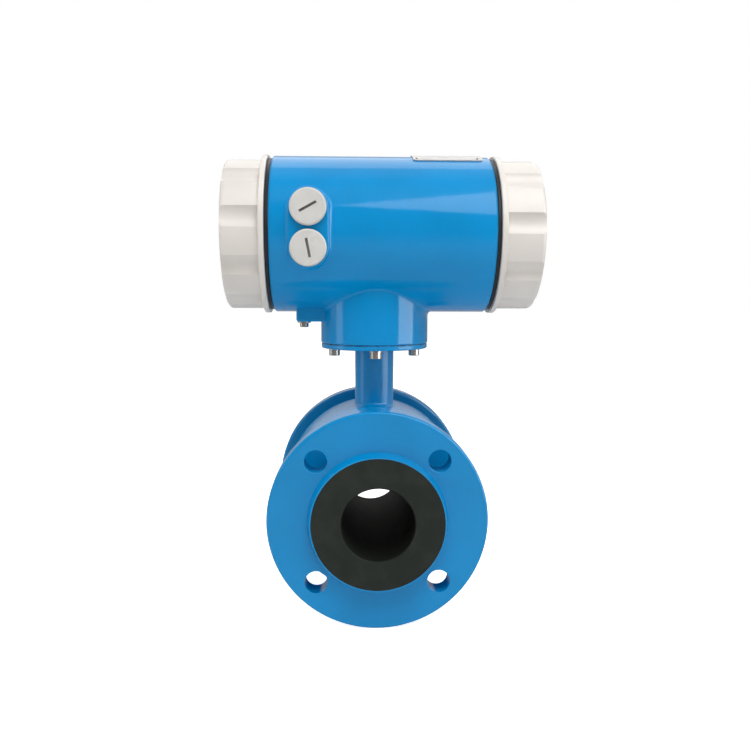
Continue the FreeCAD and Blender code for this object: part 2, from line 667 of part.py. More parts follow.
def entry_plug(name):
    """A blanking plug: bevelled head, closed slot and threaded shank."""
    centre, forward = entry_centre(name), -ALONG_Y
    low, high = BOSS_FACE + PLUG_WASHER, BOSS_FACE + PLUG_WASHER + PLUG_HEAD
    shank, tip = ENTRY_RADIUS - THREAD_CLEARANCE, BOSS_FACE - PLUG_SHANK
    plug = turned([
        (tip, 0),
        (tip, shank - PLUG_TIP_BEVEL),
        (tip + PLUG_TIP_BEVEL, shank),
        (low, shank),
        (low, PLUG_HEAD_RADIUS),
        (high - PLUG_BEVEL, PLUG_HEAD_RADIUS),
        (high, PLUG_HEAD_RADIUS - PLUG_BEVEL),
        (high, 0),
    ], forward, centre)
    length, width = PLUG_SLOT_LENGTH / 2, PLUG_SLOT_WIDTH / 2
    slot = block((-length, length), (-high - 1, PLUG_SLOT_DEPTH - high), (-width, width))
    slot.rotate(ORIGIN, -ALONG_Y, PLUG_SLOT_TURNS[name])
    slot.translate(centre)
    return plug.cut(slot)


def entry_washer(name):
    """The sealing washer under a plug's head."""
    outer, inner = PLUG_HEAD_RADIUS - PLUG_WASHER_INSET, ENTRY_RADIUS + PLUG_WASHER_SLACK
    return ring(outer, inner, BOSS_FACE, BOSS_FACE + PLUG_WASHER, -ALONG_Y, entry_centre(name))


def earth_screw():
    """The outside earth screw, head down, with a cross recess."""
    head_top = LUG_BOTTOM - EARTH_WASHER
    low = head_top - EARTH_HEAD
    head = disc(EARTH_HEAD_RADIUS, low, head_top, UP)
    head = head.makeFillet(EARTH_HEAD_ROUND, rims(head, EARTH_HEAD_RADIUS, UP, low))
    reach, half = EARTH_HEAD_RADIUS * 0.7, EARTH_CROSS_WIDTH / 2
    for x, y in ((reach, half), (half, reach)):
        head = head.cut(block((-x, x), (-y, y), (low, low + EARTH_CROSS_DEPTH)))
    screw = head.fuse(disc(EARTH_SHANK_RADIUS, head_top, LUG_BOTTOM + EARTH_SHANK, UP))
    screw.translate(EARTH_PLACE)
    return screw


def earth_washer():
    """The washer under the earth screw's head."""
    return ring(EARTH_WASHER_RADIUS, EARTH_SHANK_RADIUS, LUG_BOTTOM - EARTH_WASHER, LUG_BOTTOM,
                UP, EARTH_PLACE)


def cover_stations(side):
    """The outward axis, and where a cover's seal starts and its end lies on it."""
    if side == "left":
        return -ALONG_X, -BODY_LEFT, COVER_LEFT_DEPTH - BODY_LEFT
    return ALONG_X, BODY_RIGHT, COVER_RIGHT_DEPTH + BODY_RIGHT


def cover_seal(side):
    """The rubber ring squeezed between the body and a cover."""
    outward, start, _ = cover_stations(side)
    end = start + SEAL_WIDTH
    seal = ring(SEAL_RADIUS, NECK_RADIUS + SEAL_SLACK, start, end, outward, BODY_CENTRE)
    edges = rims(seal, SEAL_RADIUS, outward, start, BODY_CENTRE)
    edges += rims(seal, SEAL_RADIUS, outward, end, BODY_CENTRE)
    return seal.makeFillet(SEAL_ROUND, edges)


def grooves(side, start, end):
    """Cutters for the scalloped grooves between the grip's lobes."""
    outward = cover_stations(side)[0]
    half = math.radians(GROOVE_ANGLE / 2)
    chord = GRIP_RADIUS * math.sin(half)
    below = GROOVE_DEPTH - GRIP_RADIUS * (1 - math.cos(half))
    radius = (chord ** 2 + below ** 2) / (2 * below)
    out = GRIP_RADIUS - GROOVE_DEPTH + radius
    cutter = disc(radius, start, end, outward, BODY_CENTRE - ALONG_Y * out)
    # Turning about -X lifts the forward side, so both sides share this sense.
    return around(cutter, LOBES, -ALONG_X, BODY_CENTRE, GROOVE_TURN[side])


def cover_blank(side):
    """A cover's outside: collar, rounded end and lobed grip."""
    outward, start, end = cover_stations(side)
    face = start + SEAL_WIDTH
    step = face + COLLAR_WIDTH
    blank = turned([
        (face, 0), (face, COLLAR_RADIUS), (step, COLLAR_RADIUS),
        (step, GRIP_RADIUS), (end, GRIP_RADIUS), (end, 0),
    ], outward, BODY_CENTRE)
    collar = rims(blank, COLLAR_RADIUS, outward, face, BODY_CENTRE)
    collar += rims(blank, COLLAR_RADIUS, outward, step, BODY_CENTRE)
    blank = blank.makeFillet(COLLAR_ROUND, collar)
    blank = blank.makeFillet(COVER_END_ROUND, rims(blank, GRIP_RADIUS, outward, end, BODY_CENTRE))
    return blank.cut(grooves(side, step, end + 1))


def cover_room(side):
    """The room inside a cover: the threaded mouth and a narrower bore behind it."""
    outward, start, end = cover_stations(side)
    face = start + SEAL_WIDTH
    mouth = NECK_RADIUS + THREAD_CLEARANCE
    deep = end - COVER_END_WALL
    step = start + COVER_THREAD_LENGTH
    return turned([
        (face, 0), (face, mouth), (step, mouth), (step + COVER_ROOM_TAPER, COVER_ROOM_RADIUS),
        (deep, COVER_ROOM_RADIUS), (deep, 0),
    ], outward, BODY_CENTRE)


def blind_cover():
    """The cable-side cover, closed, with a shallow dish in its end."""
    outward, _, end = cover_stations("left")
    cover = cover_blank("left").cut(cover_room("left"))
    dish = turned([
        (end - COVER_DISH_DEPTH, 0), (end - COVER_DISH_DEPTH, COVER_DISH_RADIUS - COVER_DISH_DEPTH),
        (end, COVER_DISH_RADIUS), (end, 0),
    ], outward, BODY_CENTRE)
    return cover.cut(dish)


def window_cover():
    """The display-side cover, with a bevelled window opening in its end."""
    outward, _, end = cover_stations("right")
    cover = cover_blank("right").cut(cover_room("right"))
    deep, bevel = end - COVER_END_WALL, end - WINDOW_BEVEL
    opening = turned([
        (deep, 0), (deep, WINDOW_RADIUS), (bevel, WINDOW_RADIUS),
        (end, WINDOW_RADIUS + WINDOW_BEVEL), (end, 0),
    ], outward, BODY_CENTRE)
    return cover.cut(opening)


def window_stack():
    """Gasket, glass and threaded ring, from the cover's end wall inwards."""
    outward, _, end = cover_stations("right")
    seat = end - COVER_END_WALL
    glass_top = seat - WINDOW_GASKET
    glass_low = glass_top - GLASS_THICKNESS
    gasket = ring(GLASS_RADIUS, WINDOW_RADIUS + GASKET_STEP, glass_top, seat, outward, BODY_CENTRE)
    glass = disc(GLASS_RADIUS, glass_low, glass_top, outward, BODY_CENTRE)
    low = glass_low - WINDOW_RING
    clamp = ring(COVER_ROOM_RADIUS, WINDOW_RING_RADIUS, low, glass_low, outward, BODY_CENTRE)
    reach, half = COVER_ROOM_RADIUS, RING_NOTCH / 2
    notch = block((low, low + RING_NOTCH_DEPTH), (-reach, reach), (-half, half))
    notch.translate(BODY_CENTRE)
    return gasket, glass, clamp.cut(notch)


def board(x, parts):
    """A circuit board across the room, with its soldered parts."""
    half, cut = BOARD_HALF_SIDE, BOARD_CORNER
    corners = [(-half, cut - half), (-half, half - cut), (cut - half, half), (half - cut, half),
               (half, half - cut), (half, cut - half), (half - cut, -half), (cut - half, -half)]
    points = [V(x, y, BODY_HEIGHT + z) for y, z in corners]
    sheet = Part.Face(Part.makePolygon(points + points[:1])).extrude(ALONG_X * BOARD_THICKNESS)
    return sheet.fuse(parts)


def soldered(face, size, place):
    """A rectangular part on a board's face, about its place from the body's axis."""
    (depth, width, height), (y, rise) = size, place
    z = BODY_HEIGHT + rise
    return block((face, face + depth), (y - width / 2, y + width / 2), (z - height / 2, z + height / 2))


def power_board():
    """The supply board: transformer, capacitors, output socket and the lead socket behind."""
    front = POWER_BOARD_X + BOARD_THICKNESS
    parts = [soldered(front, TRANSFORMER, TRANSFORMER_PLACE),
             soldered(front, POWER_SOCKET, POWER_SOCKET_PLACE),
             soldered(POWER_BOARD_X - LEAD_SOCKET[0], LEAD_SOCKET, LEAD_SOCKET_PLACE)]
    for y, rise in CAPACITOR_PLACES:
        parts.append(disc(CAPACITOR_RADIUS, front, front + CAPACITOR_LENGTH, ALONG_X,
                          BODY_CENTRE + V(0, y, rise)))
    return board(POWER_BOARD_X, parts)


def main_board():
    """The signal board: processor, converter chip, screening can and ribbon socket."""
    front = MAIN_BOARD_X + BOARD_THICKNESS
    return board(MAIN_BOARD_X, [soldered(front, PROCESSOR, PROCESSOR_PLACE),
                                soldered(front, SMALL_CHIP, SMALL_CHIP_PLACE),
                                soldered(front, SCREENING_CAN, SCREENING_CAN_PLACE),
                                soldered(front, RIBBON_SOCKET, RIBBON_SOCKET_PLACE)])


def at_pillars(make):
    """What make gives for the centre line of each of the four rows of pillars."""
    lines = []
    for y in (-PILLAR_SPREAD, PILLAR_SPREAD):
        for z in (-PILLAR_SPREAD, PILLAR_SPREAD):
            lines.append(make(BODY_CENTRE + V(0, y, z)))
    return lines


def pillars():
    """Hexagonal pillars that stand the boards and the display panel off the partition."""
    stages = [
        (PARTITION_RIGHT, POWER_BOARD_X),
        (POWER_BOARD_X + BOARD_THICKNESS, MAIN_BOARD_X),
        (MAIN_BOARD_X + BOARD_THICKNESS, PANEL_X),
    ]
    solids = []
    for start, end in stages:
        solids += at_pillars(lambda place: hexagon(PILLAR_FLATS, start, end, ALONG_X, place))
    return solids


def key_centre(index):
    """The centre line of a panel key."""
    return BODY_CENTRE + V(0, (index - (KEY_COUNT - 1) / 2) * KEY_PITCH, -KEY_DROP)


def display_panel():
    """The round panel behind the window, with openings for the screen and the keys."""
    panel = disc(PANEL_RADIUS, PANEL_X, PANEL_FACE, ALONG_X, BODY_CENTRE)
    openings = [screen_block(PANEL_X, PANEL_FACE)]
    for index in range(KEY_COUNT):
        openings.append(disc(KEY_RADIUS + KEY_SLACK, PANEL_X, PANEL_FACE, ALONG_X, key_centre(index)))
    return panel.cut(openings)


def screen_block(start, end, margin=0):
    """A block with the display module's outline, less a margin, between two stations."""
    half_width, half_height = SCREEN_WIDTH / 2 - margin, SCREEN_HEIGHT / 2 - margin
    middle = BODY_HEIGHT + SCREEN_RISE
    return block((start, end), (-half_width, half_width), (middle - half_height, middle + half_height))


def screen():
    """The display module: its frame fills the panel's opening round a sunk glass."""
    high = PANEL_FACE + SCREEN_STAND
    sunk = screen_block(high - GLASS_INSET, high, SCREEN_MARGIN)
    return screen_block(high - SCREEN_DEPTH, high).cut(sunk)


def panel_screw(place):
    """One pan-head screw on the display panel."""
    top = PANEL_FACE + PANEL_SCREW_HEAD
    head = disc(PANEL_SCREW_RADIUS, PANEL_FACE, top, ALONG_X, place)
    return head.makeFillet(PANEL_SCREW_ROUND, rims(head, PANEL_SCREW_RADIUS, ALONG_X, top, place))


def key(index):
    """A panel key: domed cap in front, retaining rim behind the panel."""
    centre = key_centre(index)
    tip = PANEL_FACE + KEY_STAND
    cap = disc(KEY_RADIUS, PANEL_X, tip, ALONG_X, centre)
    cap = cap.makeFillet(KEY_ROUND, rims(cap, KEY_RADIUS, ALONG_X, tip, centre))
    return cap.fuse(disc(KEY_RADIUS + KEY_RIM, PANEL_X - KEY_RIM_THICKNESS, PANEL_X, ALONG_X, centre))


def terminal_tongue():
    """The part of the terminal block that passes through the partition."""
    half = TERMINAL_HALF - TONGUE_INSET
    return block((PARTITION_LEFT, PARTITION_RIGHT), (-half, half),
                 (TERMINAL_MIDDLE - TONGUE_HEIGHT / 2, TERMINAL_MIDDLE + TONGUE_HEIGHT / 2))


def terminal_block():
    """The terminal block on the partition, with a screw well for each wire."""
    across = (-TERMINAL_HALF, TERMINAL_HALF)
    low, high = TERMINAL_MIDDLE - TERMINAL_HEIGHT / 2, TERMINAL_MIDDLE + TERMINAL_HEIGHT / 2
    body = block((TERMINAL_FRONT, PARTITION_LEFT), across, (low, high))
    step = block((TERMINAL_FRONT, TERMINAL_FRONT + TERMINAL_STEP_DEPTH), across,
                 (low, low + TERMINAL_STEP_HEIGHT))
    body = body.cut(step).fuse(terminal_tongue())
    bottom = TERMINAL_FRONT + TERMINAL_WELL_DEPTH
    wells = [disc(TERMINAL_SCREW_RADIUS + TERMINAL_WELL_SLACK, TERMINAL_FRONT, bottom, ALONG_X, place)
             for place in terminal_places()]
    return body.cut(wells)


def terminal_places():
    """The centre lines of the terminal screws."""
    first = -(TERMINAL_COUNT - 1) / 2
    rise = TERMINAL_SCREW_RISE - TERMINAL_DROP
    return [BODY_CENTRE + V(0, (first + index) * TERMINAL_PITCH, rise) for index in range(TERMINAL_COUNT)]


def terminal_screws():
    """The slotted terminal screws."""
    top, bottom = TERMINAL_FRONT + TERMINAL_SCREW_SINK, TERMINAL_FRONT + TERMINAL_WELL_DEPTH
    reach, half = TERMINAL_SCREW_RADIUS, TERMINAL_SLOT_WIDTH / 2
    solids = []
    for place in terminal_places():
        head = disc(TERMINAL_SCREW_RADIUS, top, bottom, ALONG_X, place)
        slot = block((top, top + TERMINAL_SLOT_WIDTH), (-reach, reach), (-half, half))
        slot.translate(place)
        solids.append(head.cut(slot))
    return solids


def nameplate():
    """A bare metal plate bent to the body, with rounded corners."""
    inner = BODY_RADIUS + NAMEPLATE_LIFT
    points = [BODY_CENTRE + V(x, 0, radius) for x, radius in (
        (NAMEPLATE_LEFT, inner), (NAMEPLATE_RIGHT, inner),
        (NAMEPLATE_RIGHT, NAMEPLATE_SURFACE), (NAMEPLATE_LEFT, NAMEPLATE_SURFACE))]
    strip = Part.Face(Part.makePolygon(points + points[:1]))
    strip.rotate(BODY_CENTRE, ALONG_X, -NAMEPLATE_HALF_ANGLE)
    plate = strip.revolve(BODY_CENTRE, ALONG_X, 2 * NAMEPLATE_HALF_ANGLE)
    if plate.Volume < 0:
        plate.reverse()
    corners = [edge for edge in plate.Edges if abs(edge.Length - NAMEPLATE_THICKNESS) < 0.01]
    return plate.makeFillet(NAMEPLATE_CORNER, corners).cut(rivet_holes())


def at_nameplate_corners(shape):
    """Copies of an upright shape above the body's middle, one at each rivet's place."""
    angle = NAMEPLATE_HALF_ANGLE - math.degrees(RIVET_INSET / NAMEPLATE_SURFACE)
    copies = []
    for x in (NAMEPLATE_LEFT + RIVET_INSET, NAMEPLATE_RIGHT - RIVET_INSET):
        for turn in (-angle, angle):
            copy = shape.copy()
            copy.translate(ALONG_X * x)
            copy.rotate(BODY_CENTRE, ALONG_X, turn)
            copies.append(copy)
    return copies


def rivet_holes():
    """Cutters for the rivets' shanks, through the nameplate and into the body."""
    return at_nameplate_corners(disc(RIVET_SHANK_RADIUS, BODY_RADIUS - RIVET_GRIP,
                                     NAMEPLATE_SURFACE + 1, UP, BODY_CENTRE))


def nameplate_rivets():
    """Four domed rivets through the nameplate's corners."""
    top = NAMEPLATE_SURFACE + RIVET_HEIGHT
    head = disc(RIVET_RADIUS, NAMEPLATE_SURFACE, top, UP, BODY_CENTRE)
    head = head.makeFillet(RIVET_DOME, rims(head, RIVET_RADIUS, UP, top, BODY_CENTRE))
    shank = disc(RIVET_SHANK_RADIUS, BODY_RADIUS - RIVET_GRIP, NAMEPLATE_SURFACE, UP, BODY_CENTRE)
    return at_nameplate_corners(head.fuse(shank))


def save(name, shape):
    """Write one sub-part; a list of solids shares one file."""
    if isinstance(shape, (list, tuple)):
        shape = Part.makeCompound(list(shape))
    if not shape.isValid() or shape.Volume <= 0:
        raise ValueError("bad solid in " + name)
    shape.exportStep(os.path.join("parts", name + ".step"))


def sensor():
    """Everything on the pipe, from the flanges to the stem's plate."""
    forward, back = -ALONG_Y, ALONG_Y
    save("measuring_tube", measuring_tube())
    save("front_flange", flange(forward))
    save("rear_flange", flange(back))
    save("liner", liner())
    save("coil_housing", drum_shell())
    save("front_end_plate", end_plate(forward))
    save("rear_end_plate", end_plate(back))
    for name, outward in (("upper", UP), ("lower", -UP)):
        save(name + "_pole_shoe", pole_shoe(outward))
        save(name + "_coil", coil(outward))
    save("magnet_yoke", yoke())
    for name, outward in (("left", -ALONG_X), ("right", ALONG_X)):
        save(name + "_electrode", electrode(outward))
        save(name + "_insulator", insulator(outward))
        save(name + "_electrode_nut", electrode_nut(outward))
    save("stem", stem())
    save("adapter_plate", adapter_plate())
    save("neck_gasket", neck_gasket())
    save("lead_grommet", grommet())
    save("lead_bundle", disc(LEAD_RADIUS, YOKE_RADIUS, BODY_HEIGHT - ROOM_RADIUS + LEAD_TAIL, UP))
    save("plate_screws", plate_screws())
    save("spring_washers", spring_washers())


def converter():
    """The converter: its casting, covers, entries, earth terminal and nameplate."""
    save("converter_housing", converter_housing())
    for side in ("left", "right"):
        save(side + "_cover_seal", cover_seal(side))
    save("left_cover", blind_cover())
    save("right_cover", window_cover())
    gasket, glass, clamp = window_stack()
    save("window_gasket", gasket)
    save("window_glass", glass)
    save("window_ring", clamp)
    for name in PLUG_SLOT_TURNS:
        save(name + "_plug", entry_plug(name))
        save(name + "_plug_washer", entry_washer(name))
    save("earth_screw", earth_screw())
    save("earth_washer", earth_washer())
    save("nameplate", nameplate())
    save("nameplate_rivets", nameplate_rivets())


def electronics():
    """The boards, the display panel with its keys, and the terminal block."""
    save("power_board", power_board())
    save("main_board", main_board())
    save("board_pillars", pillars())
    save("display_panel", display_panel())
    save("display_screen", screen())
    save("panel_screws", at_pillars(panel_screw))
    for index in range(KEY_COUNT):
        save("panel_key_%d" % (index + 1), key(index))
    save("terminal_block", terminal_block())
    save("terminal_screws", terminal_screws())


os.makedirs("parts", exist_ok=True)
sensor()
converter()
electronics()
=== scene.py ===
import math

import bpy
from mathutils import Matrix, Quaternion, Vector


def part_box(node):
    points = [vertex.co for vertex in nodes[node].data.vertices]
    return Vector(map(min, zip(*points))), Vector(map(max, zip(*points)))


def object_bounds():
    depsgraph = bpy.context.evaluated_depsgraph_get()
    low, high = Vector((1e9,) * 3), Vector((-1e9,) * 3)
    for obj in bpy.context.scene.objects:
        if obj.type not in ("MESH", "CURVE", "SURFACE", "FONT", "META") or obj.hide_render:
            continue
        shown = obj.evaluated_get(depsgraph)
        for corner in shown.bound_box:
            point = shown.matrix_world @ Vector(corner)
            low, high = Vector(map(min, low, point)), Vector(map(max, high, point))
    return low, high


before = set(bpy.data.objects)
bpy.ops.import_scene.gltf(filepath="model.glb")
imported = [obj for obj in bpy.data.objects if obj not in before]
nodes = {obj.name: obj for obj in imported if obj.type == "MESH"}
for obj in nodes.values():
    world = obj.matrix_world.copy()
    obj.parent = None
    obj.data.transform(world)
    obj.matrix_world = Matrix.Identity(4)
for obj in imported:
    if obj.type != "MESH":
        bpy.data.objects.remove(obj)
cad_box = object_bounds()
MM = 0.001


def tone(red, green, blue):
    """A linear colour from the usual 0 to 255 values."""
    def linear(level):
        level /= 255
        return level / 12.92 if level <= 0.04045 else ((level + 0.055) / 1.055) ** 2.4
    return (linear(red), linear(green), linear(blue), 1.0)


def shade(level):
    """A grey of the given linear level."""
    return (level, level, level, 1.0)


def deeper(colour, share):
    """The same colour with its light times a share."""
    return tuple(level * share for level in colour[:3]) + (1.0,)


# Camera: where it stands, how it is turned (radians) and its lens
CAMERA_PLACE = Vector((-27.153, -737.398, 195.002)) * MM
CAMERA_YAW = 0.0378
CAMERA_PITCH = -0.1108
CAMERA_ROLL = 0.0031
SENSOR_MM = 36.0
LENS_MM = 38.47

# Paints and mouldings
BLUE = tone(0, 129, 188)
DUST = tone(205, 215, 220)
COVER_WHITE = tone(204, 199, 193)
PLUG_WHITE = tone(190, 189, 185)
PEEL_DEPTH_MM = 0.015
CAST_RIPPLE_MM = 0.12

# Threads and windings, whose turns are only relief: from one turn to the next, and how deep
COVER_THREAD_MM = 2.0
COVER_THREAD_DEPTH_MM = 0.5
PLUG_THREAD_MM = 1.5
PLUG_THREAD_DEPTH_MM = 0.4
WIRE_PITCH_MM = 0.9
WIRE_DEPTH_MM = 0.25

# Places where a finish changes
NECK_EDGE_MM = 0.3
# How far behind a plug's face the painted shade in its slot begins, and over how much it fades in
SLOT_SHADE_MM = 0.4
BORE_RADIUS_MM = 30.35

# Floor and room: how bright they are to the eye, in gloss and as light on the meter
FLOOR_SIZE = 12.0
FLOOR_GLOW = 0.85
FLOOR_SHEEN = 0.15
FLOOR_BOUNCE = 0.2
AMBIENT = 0.3
ROOM_BEHIND = 0.08
ROOM_AHEAD = 0.6


class Value:
    """A number that varies over a surface, worked with like any other number."""

    def __init__(self, finish, socket):
        self.finish, self.socket = finish, socket

    def work(self, operation, *terms):
        """A Math node on this number and any other terms."""
        return self.finish.math(operation, self, *terms)

    def __add__(self, other):
        return self.work("ADD", other)

    __radd__ = __add__

    def __sub__(self, other):
        return self.work("SUBTRACT", other)

    def __rsub__(self, other):
        return self.finish.math("SUBTRACT", other, self)

    def __mul__(self, other):
        return self.work("MULTIPLY", other)

    __rmul__ = __mul__

    def over(self, low, high):
        """0 below low, 1 above high and smooth between them."""
        settings = {"interpolation_type": "SMOOTHSTEP"}
        inputs = {"Value": self, "From Min": low, "From Max": high}
        return self.finish.node("MapRange", settings, inputs, output="Result")


class Finish:
    """One material: a surface shader and the nodes that feed it."""

    def __init__(self, name):
        self.material = bpy.data.materials.new(name)
        self.material.use_nodes = True
        self.tree = self.material.node_tree
        self.surface = self.tree.nodes["Principled BSDF"]

    @classmethod
    def of_tree(cls, tree):
        """The same tools on a node tree that isn't a material's."""
        made = cls.__new__(cls)
        made.tree = tree
        return made

    def node(self, kind, settings=None, inputs=None, output=None):
        """Any node: its settings first, then the values or links of its sockets."""
        made = self.tree.nodes.new("ShaderNode" + kind)
        for name, value in (settings or {}).items():
            setattr(made, name, value)
        for name, value in (inputs or {}).items():
            self.feed(self.find(made.inputs, name), value)
        return Value(self, self.find(made.outputs, output))

    @staticmethod
    def find(sockets, name):
        """The socket with a name or a number."""
        if isinstance(name, int):
            return sockets[name]
        for socket in sockets:
            if name in (socket.identifier, socket.name) and socket.enabled:
                return socket
        raise KeyError(name)

    def feed(self, socket, value):
        """Links a varying value to a socket, or sets the socket to a fixed one."""
        if isinstance(value, Value):
            self.tree.links.new(value.socket, socket)
        else:
            socket.default_value = value

    def math(self, operation, *terms):
        """A Math node on numbers that vary or are fixed."""
        return self.node("Math", {"operation": operation}, dict(enumerate(terms)), output=0)

    def place(self, stretch):
        """The surface's own coordinates in metres, squeezed along each axis."""
        own = self.node("TexCoord", output="Object")
        if stretch == (1, 1, 1):
            return own
        return self.node("VectorMath", {"operation": "MULTIPLY"}, {0: own, 1: stretch},
                         output="Vector")

    def along(self, axis):
        """One coordinate of the surface, in metres."""
        return self.node("SeparateXYZ", inputs={"Vector": self.place((1, 1, 1))}, output=axis)

    def noise(self, pitch_mm, detail, stretch=(1, 1, 1)):
        """Cloudy variation from 0 to 1 with marks about pitch_mm apart."""
        inputs = {"Vector": self.place(stretch), "Scale": 1 / (pitch_mm * MM), "Detail": detail}
        return self.node("TexNoise", inputs=inputs, output="Fac")

    def mix(self, factor, first, second):
        """A colour between two others."""
        inputs = {"Factor_Float": factor, "A_Color": first, "B_Color": second}
        return self.node("Mix", {"data_type": "RGBA"}, inputs, output="Result_Color")

    def bump(self, height, depth_mm, under=None):
        """A relief of the given depth; under is a relief it lies on."""
        inputs = {"Height": height, "Strength": 1.0, "Distance": depth_mm * MM}
        if under is not None:
            inputs["Normal"] = under
        return self.node("Bump", inputs=inputs, output="Normal")

    def ray(self, kind):
        """1 for light of a kind, such as Camera or Glossy, and 0 for the rest."""
        return self.node("LightPath", output="Is %s Ray" % kind)

    def wear(self, **sockets):
        """Sets the surface shader's sockets."""
        for name, value in sockets.items():
            self.feed(self.surface.inputs[name.replace("_", " ")], value)
        return self.material


def thread(finish, axis, pitch_mm):
    """The height of a thread's or a winding's turns along an axis."""
    return (finish.along(axis) * (2 * math.pi / (pitch_mm * MM))).work("SINE")


def off_axis(across, up):
    """The distance from an axis along Y, from the distances across and up."""
    return (across * across + up * up).work("SQRT")


def enamel_layer(paint, colour, peel_mm, roughness, ripple_mm=0):
    """Colour, roughness and relief of gloss enamel with its clouding and orange peel.

    ripple_mm is the depth of the waves that a casting has under its paint.
    """
    cloud = paint.noise(60, 3).over(0.3, 0.7)
    speck = paint.noise(0.9, 1).over(0.66, 0.8)
    colour_now = paint.mix(cloud, colour, deeper(colour, 0.9))
    colour_now = paint.mix(speck * 0.05, colour_now, DUST)
    ripple = paint.bump(paint.noise(24, 2), ripple_mm) if ripple_mm else None
    relief = paint.bump(paint.noise(peel_mm, 1), PEEL_DEPTH_MM, ripple)
    rough = paint.noise(35, 4) * 0.06 + (roughness - 0.03) + speck * 0.1
    return colour_now, rough, relief


def enamel(colour):
    """Sprayed gloss enamel on steel."""
    paint = Finish("blue enamel")
    colour_now, rough, relief = enamel_layer(paint, colour, 3.5, 0.2)
    return paint.wear(Base_Color=colour_now, Roughness=rough, Normal=relief)


def casting_enamel(colour):
    """Enamel on the casting; its necks beyond the body's ends are bare and threaded."""
    paint = Finish("blue enamel on casting")
    colour_now, rough, relief = enamel_layer(paint, colour, 4.5, 0.11, CAST_RIPPLE_MM)
    left_end, right_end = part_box("left_cover_seal")[1].x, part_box("right_cover_seal")[0].x
    across = paint.along("X")
    edge = NECK_EDGE_MM * MM
    neck = 1 - across.over(left_end - edge, left_end) + across.over(right_end, right_end + edge)
    scratch = paint.noise(0.6, 3, stretch=(1, 0.1, 0.1))
    bare = paint.mix(scratch, tone(186, 188, 190), tone(150, 152, 156))
    colour_now = paint.mix(neck, colour_now, bare)
    turns = thread(paint, "X", COVER_THREAD_MM)
    relief = paint.bump(turns * neck, COVER_THREAD_DEPTH_MM, relief)
    return paint.wear(Base_Color=colour_now, Roughness=rough + neck * 0.2, Metallic=neck,
                      Normal=relief)


def satin_coat(colour):
    """Powder coat with a fine peel, a few dust nibs and a slight yellowing."""
    coat = Finish("cover coat")
    cloud = coat.noise(45, 3).over(0.3, 0.75)
    nib = coat.noise(0.7, 1).over(0.68, 0.78)
    colour_now = coat.mix(cloud, colour, deeper(colour, 0.93))
    colour_now = coat.mix(nib * 0.15, colour_now, deeper(colour, 0.6))
    relief = coat.bump(coat.noise(1.6, 2), 0.035)
    rough = coat.noise(30, 4) * 0.12 + 0.28
    return coat.wear(Base_Color=colour_now, Roughness=rough, Normal=relief, Coat_Weight=0.15,
                     Coat_Roughness=0.2)


def rubber(name, colour, roughness):
    """Moulded rubber: a dull bloom over a fine grain."""
    skin = Finish(name)
    bloom = skin.noise(18, 5).over(0.35, 0.7)
    colour_now = skin.mix(bloom, colour, deeper(colour, 1.5))
    relief = skin.bump(skin.noise(1.2, 3), 0.04)
    rough = skin.noise(12, 4) * 0.18 + (roughness - 0.09)
    return skin.wear(Base_Color=colour_now, Roughness=rough, Normal=relief)


def oversprayed_rubber(colour, spray):
    """A gasket's edge, caught unevenly by the enamel sprayed round it."""
    edge = Finish("oversprayed gasket")
    caught = edge.noise(5, 4).over(0.4, 0.62)
    relief = edge.bump(edge.noise(3, 4), 0.3)
    return edge.wear(Base_Color=edge.mix(caught, colour, spray), Roughness=0.55 - caught * 0.25,
                     Normal=relief)


def liner_rubber():
    """Hard moulded rubber: dull on the flares, and duller down the bore, where painted shade makes
    it darker.
    """
    skin = Finish("liner rubber")
    out = off_axis(skin.along("X"), skin.along("Z"))
    flare = out.over((BORE_RADIUS_MM - 0.5) * MM, (BORE_RADIUS_MM + 1.5) * MM)
    bloom = skin.noise(22, 5).over(0.35, 0.7)
    face = skin.mix(bloom, tone(34, 39, 35), tone(42, 46, 41))
    # Painted shade: the rubber down the bore is near black, while the flares keep the face colour
    colour_now = skin.mix(flare, tone(9, 11, 8), face)
    relief = skin.bump(skin.noise(2.0, 3), 0.04)
    rough = skin.noise(12, 4) * 0.15 + 0.75 - flare * 0.35
    return skin.wear(Base_Color=colour_now, Roughness=rough, Normal=relief,
                     Specular_IOR_Level=0.15)


def plastic(name, colour, roughness):
    """Moulded plastic with a fine spark-eroded grain and a few scuffs."""
    shell = Finish(name)
    cloud = shell.noise(25, 3).over(0.35, 0.7)
    scuff = shell.noise(2.2, 4, stretch=(1, 6, 1)).over(0.62, 0.72)
    colour_now = shell.mix(cloud, colour, deeper(colour, 0.92))
    colour_now = shell.mix(scuff * 0.15, colour_now, deeper(colour, 0.75))
    relief = shell.bump(shell.noise(0.6, 2), 0.01)
    rough = scuff * 0.12 + (roughness - 0.02) + cloud * 0.05
    return shell.wear(Base_Color=colour_now, Roughness=rough, Normal=relief)


